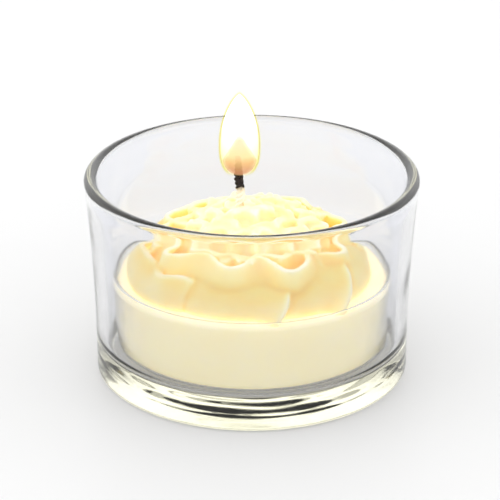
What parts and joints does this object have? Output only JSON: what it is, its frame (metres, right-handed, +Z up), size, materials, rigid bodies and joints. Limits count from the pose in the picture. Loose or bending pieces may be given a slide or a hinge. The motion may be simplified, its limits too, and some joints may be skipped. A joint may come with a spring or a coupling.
{
  "type": "tealight holder",
  "caption": "Short clear glass cup with a thick base holding a ruffled flower candle in a thin clear cup, with its wick lit.",
  "frame": {"origin": "centre of the glass's foot, on the surface that it stands on", "axes": "+Z up along the glass's axis; the wick stands a little way towards -X; the flower's tallest petal folds face -Y"},
  "size_m": [0.072, 0.072, 0.0632],
  "materials": {
    "holder_glass": "clear pressed soda-lime glass, fire-polished lip",
    "cup_plastic": "clear moulded polycarbonate, thin and glossy",
    "pale_wax": "poured ivory candle wax, satin and translucent",
    "yellow_wax": "moulded pale yellow candle wax, satin and translucent",
    "cotton_wick": "braided cotton, waxed below and charred above",
    "tinplate": "stamped tinplate",
    "flame_gas": "glowing burning vapour"
  },
  "bodies": {
    "holder": {"glass_holder": "holder_glass"},
    "cup": {"candle_cup": "cup_plastic"},
    "candle": {"wax_base": "pale_wax", "wax_flower": "yellow_wax", "wick": "cotton_wick", "wick_sustainer": "tinplate", "flame": "flame_gas"}
  },
  "joints": [
    {"name": "cup_lift", "type": "slide", "parent": "holder", "child": "cup", "axis": [0, 0, 1], "range_m": [0, 0.06]},
    {"name": "candle_lift", "type": "slide", "parent": "cup", "child": "candle", "axis": [0, 0, 1], "range_m": [0, 0.03]}
  ]
}
